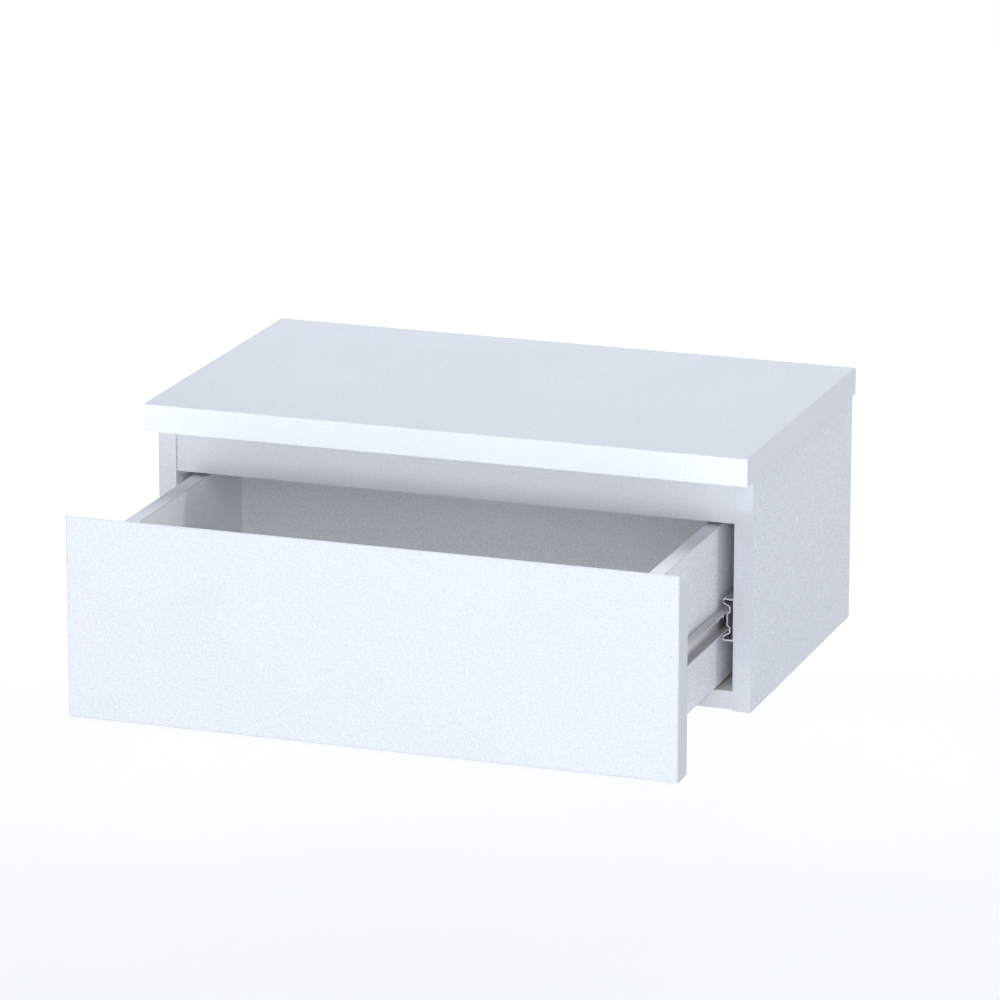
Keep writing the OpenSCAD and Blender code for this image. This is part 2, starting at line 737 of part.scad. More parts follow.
module drawer_floor() {
    reach = floor_groove - groove_end_play;
    in_drawer(inside_white)
        block([-box_in_w / 2 - reach, front_back_y + box_t - reach, floor_z],
              [box_in_w / 2 + reach, box_back_y - box_t + reach, floor_z + floor_t]);
}

module drawer_box_edge_bands() {
    z0 = box_z + box_h - edge_t;
    in_drawer(edge_white) {
        both_sides() block([box_in_w / 2, front_back_y, z0], [box_w / 2, box_back_y, z0 + edge_t]);
        for (y = [front_back_y, box_back_y - box_t])
            block([-box_in_w / 2, y, z0], [box_in_w / 2, y + box_t, z0 + edge_t]);
    }
}

module drawer_dowels() {
    in_drawer(beech) both_sides()
        for (joint = box_dowels) dowel(joint, box_dowel_d, box_dowel_l, box_dowel_bite);
}

module drawer_front_screws() {
    in_drawer(zinc_grey) front_screw_places()
        screw_x(front_screw_d, front_screw_l, front_screw_head_d, front_screw_head_h);
}

module front_bumpers() {
    in_drawer(bumper_clear) both_sides() for (z = bumper_zs)
        translate([bumper_x, 0, z]) rod_y(bumper_d, front_back_y, front_back_y + bumper_t);
}

// ---------- nodes ----------

top_panel();
top_edge_band();
side_panel("left");  // left_side_panel
side_panel("right");  // right_side_panel
side_edge_bands();
bottom_panel();
bottom_edge_band();
front_rail();
front_rail_edge_band();
hanging_rail();
lower_back_rail();
back_panel();
cam_housings();
cam_bolts();
carcass_dowels();
slide_outer("left");  // left_slide_outer
slide_outer("right");  // right_slide_outer
slide_rear_stops();
slide_carcass_screws();
slide_middle("left");  // left_slide_middle
slide_middle("right");  // right_slide_middle
outer_ball_cage("left");  // left_outer_ball_cage
outer_ball_cage("right");  // right_outer_ball_cage
outer_ball_set("left");  // left_outer_balls
outer_ball_set("right");  // right_outer_balls
inner_ball_cage("left");  // left_inner_ball_cage
inner_ball_cage("right");  // right_inner_ball_cage
inner_ball_set("left");  // left_inner_balls
inner_ball_set("right");  // right_inner_balls
slide_inner("left");  // left_slide_inner
slide_inner("right");  // right_slide_inner
slide_drawer_screws();
drawer_front();
drawer_front_edge_band();
drawer_side("left");  // drawer_left_side
drawer_side("right");  // drawer_right_side
drawer_sub_front();
drawer_back();
drawer_floor();
drawer_box_edge_bands();
drawer_dowels();
drawer_front_screws();
front_bumpers();
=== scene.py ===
"""Looks of a wall-hung vanity cabinet whose one drawer stands open on telescopic ball slides.

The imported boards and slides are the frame. This script dresses them, puts detailed edge bands, screws,
cam housings and bumpers in the places of the plain ones, and sets up the studio and the camera.
Sizes are in millimetres. Heights are measured from the carcass's underside, and places on the drawer
are given for the shut drawer, until place_mesh() takes a mesh to the part's own frame.
"""

import logging
import math
from dataclasses import dataclass
from enum import Enum
from typing import Iterable, Sequence, Union

import bmesh
import bpy
from mathutils import Matrix, Vector

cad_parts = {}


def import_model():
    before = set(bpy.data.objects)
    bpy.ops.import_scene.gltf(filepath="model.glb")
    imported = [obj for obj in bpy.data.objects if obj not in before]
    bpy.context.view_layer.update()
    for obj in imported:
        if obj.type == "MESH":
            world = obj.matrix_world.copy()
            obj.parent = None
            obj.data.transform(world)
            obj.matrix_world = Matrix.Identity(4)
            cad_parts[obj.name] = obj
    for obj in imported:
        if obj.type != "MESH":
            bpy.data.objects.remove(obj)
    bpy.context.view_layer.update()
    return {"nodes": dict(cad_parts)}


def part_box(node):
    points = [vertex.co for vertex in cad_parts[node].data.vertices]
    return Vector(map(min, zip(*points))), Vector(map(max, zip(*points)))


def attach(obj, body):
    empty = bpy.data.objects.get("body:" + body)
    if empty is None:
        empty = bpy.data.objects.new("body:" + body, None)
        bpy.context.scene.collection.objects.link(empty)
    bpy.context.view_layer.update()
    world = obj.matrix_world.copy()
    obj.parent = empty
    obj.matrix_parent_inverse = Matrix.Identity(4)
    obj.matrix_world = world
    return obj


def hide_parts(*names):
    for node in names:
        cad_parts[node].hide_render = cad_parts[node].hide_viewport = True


LOG = logging.getLogger("vanity")
MM = 0.001
SKIN = 0.15 * MM  # how near a point is to a board's face to be on it
WELD = 1e-4  # mm, below which two corners are one
SQUARE_ON = 0.9  # least cosine of the angle between two directions that count as the same
Point = tuple[float, float, float]
Colour = tuple[float, float, float]


class Axis(Enum):
    """The direction through a board's thickness."""

    X = 0
    Y = 1
    Z = 2


class Body(Enum):
    """The bodies that new pieces ride on."""

    CARCASS = "carcass"
    DRAWER = "drawer"


# ---------------- shader expressions


@dataclass(frozen=True)
class Sock:
    """A material's output socket, which takes part in Python arithmetic."""

    graph: "Graph"
    socket: bpy.types.NodeSocket | None

    def __add__(self, other: "Value") -> "Sock":
        """Returns self + other."""
        return self.graph.math("ADD", self, other)

    def __sub__(self, other: "Value") -> "Sock":
        """Returns self - other."""
        return self.graph.math("SUBTRACT", self, other)

    def __rsub__(self, other: "Value") -> "Sock":
        """Returns other - self."""
        return self.graph.math("SUBTRACT", other, self)

    def __mul__(self, other: "Value") -> "Sock":
        """Returns self * other."""
        return self.graph.math("MULTIPLY", self, other)

    def __gt__(self, other: "Value") -> "Sock":
        """Returns 1 where self is greater than other, else 0."""
        return self.graph.math("GREATER_THAN", self, other)

    def __lt__(self, other: "Value") -> "Sock":
        """Returns 1 where self is less than other, else 0."""
        return self.graph.math("LESS_THAN", self, other)

    def __abs__(self) -> "Sock":
        """Returns the size of self without its sign."""
        return self.graph.math("ABSOLUTE", self)

    __radd__ = __add__


Value = Union[float, Sock]
Tint = Union[Colour, Sock]


class Graph:
    """One material, whose nodes are written as expressions."""

    def __init__(self, name: str) -> None:
        """Starts an empty material with a name."""
        self.material = bpy.data.materials.new(name)
        self.material.use_nodes = True
        self.tree = self.material.node_tree
        self.tree.nodes.clear()

    def node(
        self,
        kind: str,
        settings: dict | None = None,
        sockets: dict | None = None,
        out: Union[int, str] = 0,
    ) -> Sock:
        """Adds a node.

        Args:
            kind: The node's type.
            settings: Its properties, or the stops of its ramp, which are set first.
            sockets: Values or links by socket name or number.
            out: The output to return.

        Returns:
            The output as an expression.
        """
        made = self.tree.nodes.new(kind)
        for key, value in (settings or {}).items():
            if key == "stops":
                self._set_stops(made.color_ramp, value)
            else:
                setattr(made, key, value)
        for key, value in (sockets or {}).items():
            self._feed(made.inputs[key], value)
        return Sock(self, made.outputs[out] if made.outputs else None)

    @staticmethod
    def _set_stops(ramp: bpy.types.ColorRamp, stops: Sequence[tuple[float, Colour]]) -> None:
        """Gives a new ramp, which has two stops, its own: places from 0 to 1 with their colours."""
        for _ in range(len(stops) - len(ramp.elements)):
            ramp.elements.new(1.0)
        for element, (position, colour) in zip(ramp.elements, stops):
            element.position = position
            element.color = (*colour, 1.0)

    def _feed(self, socket: bpy.types.NodeSocket, value: Union[Value, Tint]) -> None:
        """Links an expression to an input socket, or sets a number, colour or vector there."""
        if isinstance(value, Sock):
            self.tree.links.new(value.socket, socket)
        elif isinstance(value, tuple) and socket.type == "RGBA":
            socket.default_value = (*value, 1.0)
        else:
            socket.default_value = value

    def math(self, operation: str, *values: Value) -> Sock:
        """Returns the result of a Math node with one or two inputs."""
        return self.node("ShaderNodeMath", {"operation": operation}, dict(enumerate(values)))

    def mix(self, factor: Value, low: Tint, high: Tint) -> Sock:
        """Returns a blend of two colours: the first where factor is 0, the second where it is 1."""
        return self.node("ShaderNodeMix", {"data_type": "RGBA"}, {0: factor, 6: low, 7: high}, 2)

    def blend(self, factor: Value, low: Value, high: Value) -> Sock:
        """Returns a blend of two numbers: the first where factor is 0, the second where it is 1."""
        return self.node("ShaderNodeMix", {"data_type": "FLOAT"}, {0: factor, 2: low, 3: high}, 0)

    def place(self) -> Sock:
        """Returns the point on the piece, in metres in its own frame."""
        return self.node("ShaderNodeTexCoord", out="Object")

    def part_of(self, vector: Sock, axis: Axis) -> Sock:
        """Returns one component of a vector."""
        return self.node("ShaderNodeSeparateXYZ", sockets={0: vector}, out=axis.value)

    def stretched(self, vector: Sock, scale: Point) -> Sock:
        """Returns a vector with each component multiplied."""
        return self.node("ShaderNodeVectorMath", {"operation": "MULTIPLY"}, {0: vector, 1: scale})

    def noise(self, at: Sock, scale: float, detail: float = 2.0, roughness: float = 0.5) -> Sock:
        """Adds a cloudy noise.

        Args:
            at: Where it is read.
            scale: Features to a unit of at.
            detail: Finer layers on top of the first.
            roughness: How strong those layers are.

        Returns:
            A number from 0 to 1, mostly near a half.
        """
        return self.node(
            "ShaderNodeTexNoise",
            sockets={"Vector": at, "Scale": scale, "Detail": detail, "Roughness": roughness},
        )

    def cells(self, at: Sock) -> Sock:
        """Returns a number from 0 to 1 that is the same all over each irregular cell."""
        colour = self.node("ShaderNodeTexVoronoi", sockets={"Vector": at, "Scale": 1.0}, out="Color")
        return self.node("ShaderNodeSeparateColor", sockets={0: colour})

    def ramp(self, factor: Value, stops: Sequence[tuple[float, Colour]]) -> Sock:
        """Returns the colour of a ramp."""
        return self.node("ShaderNodeValToRGB", {"stops": stops}, {0: factor})

    def relief(self, height_mm: Sock) -> Sock:
        """Returns the surface normal over a relief whose height is in millimetres."""
        return self.node("ShaderNodeBump", sockets={"Height": height_mm, "Distance": MM, "Strength": 1.0})

    def surface(self, **sockets: Union[Value, Tint]) -> bpy.types.Material:
        """Ends the material in a Principled surface, whose inputs' spaces are underscores."""
        named = {key.replace("_", " "): value for key, value in sockets.items()}
        return self.end(self.node("ShaderNodeBsdfPrincipled", sockets=named))

    def end(self, shader: Sock) -> bpy.types.Material:
        """Ends the material in a shader and returns it."""
        self.node("ShaderNodeOutputMaterial", sockets={"Surface": shader})
        return self.material


# ---------------- finishes


@dataclass(frozen=True)
class Finish:
    """A finish that is the same all over its piece. Noise scales count features to a metre."""

    def look(self, graph: Graph, at: Sock) -> dict:
        """Returns the inputs of the finish's Principled surface, by name, at a point."""
        raise NotImplementedError

    def make(self, name: str) -> bpy.types.Material:
        """Makes the material and gives it its name."""
        graph = Graph(name)
        return graph.surface(**self.look(graph, graph.place()))


@dataclass(frozen=True)
class Chipboard:
    """The raw core of a board, seen on its unbanded edges and in its bores."""

    dark: Colour = (0.38, 0.30, 0.22)
    middle: Colour = (0.54, 0.45, 0.34)
    light: Colour = (0.70, 0.61, 0.49)
    across: float = 1100.0
    along: float = 300.0
    dust: float = 1800.0
    roughness: float = 0.85
    relief_mm: float = 0.12

    def layers(self, graph: Graph, at: Sock, axis: Axis) -> tuple[Sock, Sock]:
        """Returns the chips' colour and relief in millimetres. They are thin along the axis."""
        scale = tuple(self.across if i == axis.value else self.along for i in range(3))
        chip = graph.cells(graph.stretched(at, scale))
        dust = graph.noise(at, self.dust, 3.0, 0.7)
        stops = [(0.0, self.dark), (0.35, self.middle), (0.75, self.light), (1.0, self.middle)]
        colour = graph.ramp(chip * 0.8 + dust * 0.25, stops)
        return colour, (chip + dust * 0.5) * self.relief_mm


@dataclass(frozen=True)
class WhiteMelamine(Finish):
    """Satin white facing on a board, with a fine pearl texture and faint clouding."""

    shade: Colour
    spread: float = 0.28
    roughness: float = 0.42
    pearl: float = 620.0
    pearl_mm: float = 0.15
    cloud: float = 9.0
    speck: float = 1500.0
    glint: float = 1150.0
    glint_from: float = 0.66
    sparkle: float = 0.0
    # painted light: how much paler the face inside the carcass is painted, so that the gap beside the
    # drawer looks lit
    painted_light_gain: Colour = (1.31, 1.25, 1.13)
    core: Chipboard = Chipboard()

    def coat(self, graph: Graph, at: Sock) -> tuple[Sock, Sock, Sock]:
        """Returns the white surface's colour, roughness and relief in millimetres."""
        pearl = graph.noise(at, self.pearl, 2.0, 0.6)
        cloud = graph.noise(at, self.cloud, 3.0, 0.55)
        speck = graph.noise(at, self.speck, 1.0, 0.5)
        glint = (graph.noise(at, self.glint, 0.0, 0.5) > self.glint_from) * self.sparkle
        tone = pearl * 0.5 + speck * 0.4 + cloud * 0.1 + glint
        dark, light = (tuple(c * (1 + side * self.spread) for c in self.shade) for side in (-1, 1))
        colour = graph.mix(tone, dark, light)
        roughness = self.roughness + (pearl - 0.5) * 0.10 + (cloud - 0.5) * 0.06
        return colour, roughness, pearl * self.pearl_mm

    def board(
        self, name: str, axis: Axis, low: float, high: float, inside: float | None = None
    ) -> bpy.types.Material:
        """Makes the material of one board: white on its two faces, raw everywhere else.

        Args:
            name: The material's name.
            axis: The direction through the board.
            low: Where its lower face is, in metres.
            high: Where its upper face is, in metres.
            inside: Where its face inside the carcass is, in metres, if it has one. That face is painted
                paler, as painted light.

        Returns:
            The material.
        """
        graph = Graph(name)
        at = graph.place()
        across = graph.part_of(at, axis)
        normal = graph.node("ShaderNodeTexCoord", out="Normal")
        on_face = (abs(across - low) < SKIN) + (abs(across - high) < SKIN)
        mask = (abs(graph.part_of(normal, axis)) > SQUARE_ON) * on_face
        white, gloss, pearl = self.coat(graph, at)
        if inside is not None:
            # Painted light: the face inside the carcass is painted paler than the rest, so that the gap
            # beside the drawer looks lit.
            paler = graph.stretched(white, self.painted_light_gain)
            white = graph.mix(abs(across - inside) < SKIN, white, paler)
        raw, chips = self.core.layers(graph, at, axis)
        return graph.surface(
            Base_Color=graph.mix(mask, raw, white),
            Roughness=graph.blend(mask, self.core.roughness, gloss),
            Normal=graph.relief(graph.blend(mask, chips, pearl)),
        )

    def look(self, graph: Graph, at: Sock) -> dict:
        """Returns the look of a glued edge band, which is white all over."""
        white, gloss, pearl = self.coat(graph, at)
        return {"Base_Color": white, "Roughness": gloss, "Normal": graph.relief(pearl)}


@dataclass(frozen=True)
class Hardboard:
    """Thin fibreboard with one white face and a pale back with the print of the press's mesh."""

    dark: Colour = (0.36, 0.33, 0.29)
    light: Colour = (0.52, 0.48, 0.43)
    fibre: float = 700.0
    blot: float = 60.0
    roughness: float = 0.72
    mesh_pitch_mm: float = 1.6

    def panel(self, name: str, white: WhiteMelamine, axis: Axis, face: float) -> bpy.types.Material:
        """Makes the material of a panel.

        Args:
            name: The material's name.
            white: The finish of its white face.
            axis: The direction through the panel.
            face: Where its white face is, in metres.

        Returns:
            The material.
        """
        graph = Graph(name)
        at = graph.place()
        mask = abs(graph.part_of(at, axis) - face) < SKIN
        lacquer, gloss, pearl = white.coat(graph, at)
        fibre = graph.noise(at, self.fibre, 4.0, 0.7)
        blot = graph.noise(at, self.blot, 2.0, 0.5)
        brown = graph.mix(fibre * 0.7 + blot * 0.3, self.dark, self.light)
        turns = 2.0 * math.pi / (self.mesh_pitch_mm * MM)
        others = [a for a in Axis if a is not axis]
        waves = [graph.math("SINE", graph.part_of(at, a) * turns) for a in others]
        mesh = waves[0] * waves[1] * 0.05 + fibre * 0.06
        return graph.surface(
            Base_Color=graph.mix(mask, brown, lacquer),
            Roughness=graph.blend(mask, self.roughness, gloss),
            Normal=graph.relief(graph.blend(mask, mesh, pearl)),
        )


@dataclass(frozen=True)
class RolledSteel(Finish):
    """Zinc-plated steel with fine streaks along the way it was rolled or drawn."""

    dark: Colour = (0.56, 0.57, 0.59)
    light: Colour = (0.80, 0.81, 0.83)
    roughness: float = 0.44
    metallic: float = 0.8
    streak: Point = (1500.0, 14.0, 1500.0)
    bloom: float = 55.0
    grain: float = 2400.0
    relief_mm: float = 0.004

    def look(self, graph: Graph, at: Sock) -> dict:
        """Returns the inputs of the surface."""
        streaks = graph.noise(graph.stretched(at, self.streak), 1.0, 3.0, 0.6)
        bloom = graph.noise(at, self.bloom, 4.0, 0.6)
        grain = graph.noise(at, self.grain, 1.0, 0.5)
        tone = streaks * 0.45 + bloom * 0.4 + grain * 0.15
        return {
            "Base_Color": graph.mix(tone, self.dark, self.light),
            "Roughness": self.roughness + (bloom - 0.5) * 0.18 + (streaks - 0.5) * 0.14,
            "Normal": graph.relief((streaks + grain * 0.5) * self.relief_mm),
            "Metallic": self.metallic,
        }


@dataclass(frozen=True)
class CastMetal(Finish):
    """Die-cast or turned metal with an even grain and darker hollows."""

    dark: Colour
    light: Colour
    roughness: float
    grain: float
    relief_mm: float
    patch: float = 180.0

    def look(self, graph: Graph, at: Sock) -> dict:
        """Returns the inputs of the surface."""
        grain = graph.noise(at, self.grain, 3.0, 0.65)
        patch = graph.noise(at, self.patch, 2.0, 0.5)
        return {
            "Base_Color": graph.mix(grain * 0.6 + patch * 0.4, self.dark, self.light),
            "Roughness": self.roughness + (patch - 0.5) * 0.2,
            "Normal": graph.relief(grain * self.relief_mm),
            "Metallic": 1.0,
        }


@dataclass(frozen=True)
class MouldedPlastic(Finish):
    """Plastic with a spark-eroded grain. It may let light through."""

    dark: Colour
    light: Colour
    roughness: float
    grain: float
    relief_mm: float
    clear: float = 0.0
    flow: float = 240.0

    def look(self, graph: Graph, at: Sock) -> dict:
        """Returns the inputs of the surface."""
        grain = graph.noise(at, self.grain, 2.0, 0.6)
        flow = graph.noise(at, self.flow, 2.0, 0.5)
        return {
            "Base_Color": graph.mix(grain * 0.5 + flow * 0.5, self.dark, self.light),
            "Roughness": self.roughness + (grain - 0.5) * 0.15,
            "Normal": graph.relief(grain * self.relief_mm),
            "Transmission_Weight": self.clear,
        }


@dataclass(frozen=True)
class Beech(Finish):
    """Plain beech with its short dark flecks."""

    dark: Colour = (0.42, 0.25, 0.13)
    light: Colour = (0.68, 0.48, 0.29)
    rings: Point = (30.0, 500.0, 500.0)
    flecks: Point = (400.0, 2600.0, 2600.0)
    fleck_from: float = 0.62
    roughness: float = 0.55
    relief_mm: float = 0.03

    def look(self, graph: Graph, at: Sock) -> dict:
        """Returns the inputs of the surface."""
        rings = graph.noise(graph.stretched(at, self.rings), 1.0, 3.0, 0.6)
        fleck = graph.noise(graph.stretched(at, self.flecks), 1.0, 1.0, 0.5) > self.fleck_from
        tone = rings * (1.0 - fleck * 0.5)
        return {
            "Base_Color": graph.mix(tone, self.dark, self.light),
            "Roughness": self.roughness + (rings - 0.5) * 0.2,
            "Normal": graph.relief(rings * self.relief_mm),
        }


# ---------------- meshes


@dataclass(frozen=True)
class Layout:
    """The sizes that the pieces share, in millimetres."""

    origin_z: float = 97.0
    open_by: float = 162.0
    carcass_w: float = 495.0
    carcass_d: float = 275.0
    carcass_h: float = 189.0
    board_t: float = 15.0
    edge_t: float = 1.0
    bottom_recess: float = 4.0
    rail_recess: float = 2.0
    rail_h: float = 38.0
    top_w: float = 500.0
    top_d: float = 300.0
    top_t: float = 22.0
    front_t: float = 22.0
    front_foot: float = 1.0
    front_top: float = 163.0
    grip_slope: float = 30.0
    front_back_y: float = -277.05
    box_w: float = 439.6
    box_t: float = 12.0
    box_back_y: float = -23.0
    box_top: float = 148.0
    slide_y: float = -272.0
    slide_z: float = 73.0
    outer_t: float = 1.2
    inner_t: float = 1.0

    @property
    def inner_x(self) -> float:
        """Returns half the width between the side panels."""
        return self.carcass_w / 2 - self.board_t

    @property
    def face_y(self) -> float:
        """Returns where the drawer front's face is when the drawer is shut."""
        return self.front_back_y - self.front_t

    @property
    def slope(self) -> float:
        """Returns how far the grip edge drops for each millimetre toward its back."""
        return math.tan(math.radians(self.grip_slope))


LAYOUT = Layout()
RIGHT, LEFT, REAR, FRONT = (1, 0, 0), (-1, 0, 0), (0, 1, 0), (0, -1, 0)
UP, DOWN = (0, 0, 1), (0, 0, -1)


def settle(shape: bmesh.types.BMesh, name: str) -> bpy.types.Mesh:
    """Returns a finished shape as a mesh, and frees the shape."""
    mesh = bpy.data.meshes.new(name)
    shape.to_mesh(mesh)
    shape.free()
    return mesh


def stand(name: str, data: bpy.types.ID) -> bpy.types.Object:
    """Returns a new object in the scene for a mesh, a light or a camera."""
    thing = bpy.data.objects.new(name, data)
    bpy.context.scene.collection.objects.link(thing)
    return thing


def place_mesh(mesh: bpy.types.Mesh, body: Body) -> None:
    """Takes a finished mesh from the drawing's millimetres to the part's frame in metres.

    Args:
        mesh: The mesh, drawn from the carcass's underside and on the shut drawer.
        body: What it rides on.
    """
    out = LAYOUT.open_by if body is Body.DRAWER else 0.0
    mesh.transform(Matrix.Scale(MM, 4) @ Matrix.Translation((0.0, -out, -LAYOUT.origin_z)))


def merge_copies(shape: bmesh.types.BMesh, places: Iterable[Matrix]) -> bmesh.types.BMesh:
    """Repeats one shape at several places.

    Args:
        shape: The shape, which is used up.
        places: Where the copies go. A mirroring matrix is allowed.

    Returns:
        All the copies in one bmesh.
    """
    source = settle(shape, "pattern")
    result = bmesh.new()
    for place in places:
        copy = source.copy()
        copy.transform(place)
        if place.determinant() < 0:
            copy.flip_normals()
        result.from_mesh(copy)
        bpy.data.meshes.remove(copy)
    bpy.data.meshes.remove(source)
    return result


def make_piece(
    name: str,
    shape: bmesh.types.BMesh,
    material: bpy.types.Material,
    body: Body,
    node: str,
    smooth_deg: float = 0.0,
) -> bpy.types.Object:
    """Turns a finished shape into a piece that rides on a body in a node's place.

    Args:
        name: The piece's name.
        shape: The shape in millimetres, which is used up.
        material: Its finish.
        body: What it rides on.
        node: The node that it stands for.
        smooth_deg: Edges flatter than this are shaded smooth.

    Returns:
        The piece.
    """
    mesh = settle(shape, name)
    place_mesh(mesh, body)
    if smooth_deg:
        mesh.shade_smooth()
        mesh.set_sharp_from_angle(angle=math.radians(smooth_deg))
    mesh.materials.append(material)
    piece = stand(name, mesh)
    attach(piece, body.value)
    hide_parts(node)
    LOG.info("%s: %d faces", name, len(mesh.polygons))
    return piece


def turned(profile: Sequence[tuple[float, float]], steps: int = 48) -> bmesh.types.BMesh:
    """Spins a profile about the Z axis into a closed solid.

    Args:
        profile: Radius and height of each point, from the axis out and back to the axis.
        steps: Flats round the full turn.

    Returns:
        The solid, with its normals outward.
    """
    shape = bmesh.new()
    points = [shape.verts.new((radius, 0.0, height)) for radius, height in profile]
    edges = [shape.edges.new(pair) for pair in zip(points, points[1:])]
    ring = points + edges
    bmesh.ops.spin(shape, geom=ring, axis=UP, angle=2 * math.pi, steps=steps, use_merge=True)
    bmesh.ops.remove_doubles(shape, verts=shape.verts, dist=WELD)
    bmesh.ops.recalc_face_normals(shape, faces=shape.faces)
    return shape


def rounded_corner(
    centre: tuple[float, float], radius: float, start: float, end: float, steps: int = 5
) -> list:
    """Returns points along an arc of a profile, from one angle in degrees to another."""
    angles = [math.radians(start + (end - start) * i / steps) for i in range(steps + 1)]
    return [(centre[0] + radius * math.cos(a), centre[1] + radius * math.sin(a)) for a in angles]


def drive_recess(span: float, width: float, depth: float, face_z: float) -> bmesh.types.BMesh:
    """Makes the tapered cross that a screwdriver's tip leaves free in a head.

    Args:
        span: Tip to tip across the face.
        width: Width of each arm.
        depth: Depth below the face.
        face_z: Height of the face, which looks along +Z.

    Returns:
        The cross, which also stands a little above the face.
    """
    shape = bmesh.new()
    bmesh.ops.create_cube(shape, size=1.0)
    bmesh.ops.scale(shape, vec=(width, width, 2 * depth), verts=shape.verts)
    sides = [face for face in shape.faces if abs(face.normal.z) < 0.5]
    arms = bmesh.ops.extrude_discrete_faces(shape, faces=sides)["faces"]
    for face in arms:
        bmesh.ops.translate(shape, vec=face.normal * (span - width) / 2, verts=face.verts)
    low = [vert for vert in shape.verts if vert.co.z < 0]
    bmesh.ops.scale(shape, vec=(0.45, 0.45, 1.0), verts=low)
    bmesh.ops.translate(shape, vec=(0, 0, face_z), verts=shape.verts)
    return shape


def carve(shape: bmesh.types.BMesh, cutters: Sequence[bmesh.types.BMesh]) -> bmesh.types.BMesh:
    """Returns what the cutters leave of a solid. All these shapes are used up."""
    made = [stand("carving", settle(part, "carving")) for part in (shape, *cutters)]
    for tool in made[1:]:
        cut = made[0].modifiers.new("cut", "BOOLEAN")
        cut.operation = "DIFFERENCE"
        cut.solver = "EXACT"
        cut.object = tool
    bpy.context.view_layer.update()
    result = bmesh.new()
    result.from_object(made[0], bpy.context.evaluated_depsgraph_get())
    for thing in made:
        bpy.data.objects.remove(thing)
    bmesh.ops.remove_doubles(result, verts=result.verts, dist=WELD)
    return result


@dataclass
class Strip:
    """One length of edge band: rounded along its outer edges, with a fine seam where it is glued."""

    low: Sequence[float]
    high: Sequence[float]
    outward: Sequence[float]
    butts: Sequence[Sequence[float]] = ()
    radius: float = 0.25
    seam: float = 0.06

    def build(self, shape: bmesh.types.BMesh) -> list[bmesh.types.BMVert]:
        """Adds the strip to the shape of its band, and returns the strip's corners."""
        low, high, outward = Vector(self.low), Vector(self.high), Vector(self.outward)
        strip = bmesh.new()
        bmesh.ops.create_cube(strip, size=1.0)
        bmesh.ops.scale(strip, vec=high - low, verts=strip.verts)
        bmesh.ops.translate(strip, vec=(low + high) / 2, verts=strip.verts)
        strip.normal_update()
        butts = [Vector(butt) for butt in self.butts]
        outer, seams = [], []
        for edge in strip.edges:
            normals = [face.normal for face in edge.link_faces]
            is_outer = any(normal.dot(outward) > SQUARE_ON for normal in normals)
            is_butt = any(n.dot(butt) > SQUARE_ON for n in normals for butt in butts)
            (outer if is_outer and not is_butt else seams).append(edge)
        for edges, size, segments in ((outer, self.radius, 4), (seams, self.seam, 1)):
            bmesh.ops.bevel(
                strip,
                geom=[edge for edge in edges if edge.is_valid],
                offset=size,
                affect="EDGES",
                segments=segments,
                profile=0.5,
                material=-1,
                clamp_overlap=True,
            )
        mesh = settle(strip, "strip")
        before = set(shape.verts)
        shape.from_mesh(mesh)
        bpy.data.meshes.remove(mesh)
        return [vert for vert in shape.verts if vert not in before]


# ---------------- sub-assemblies


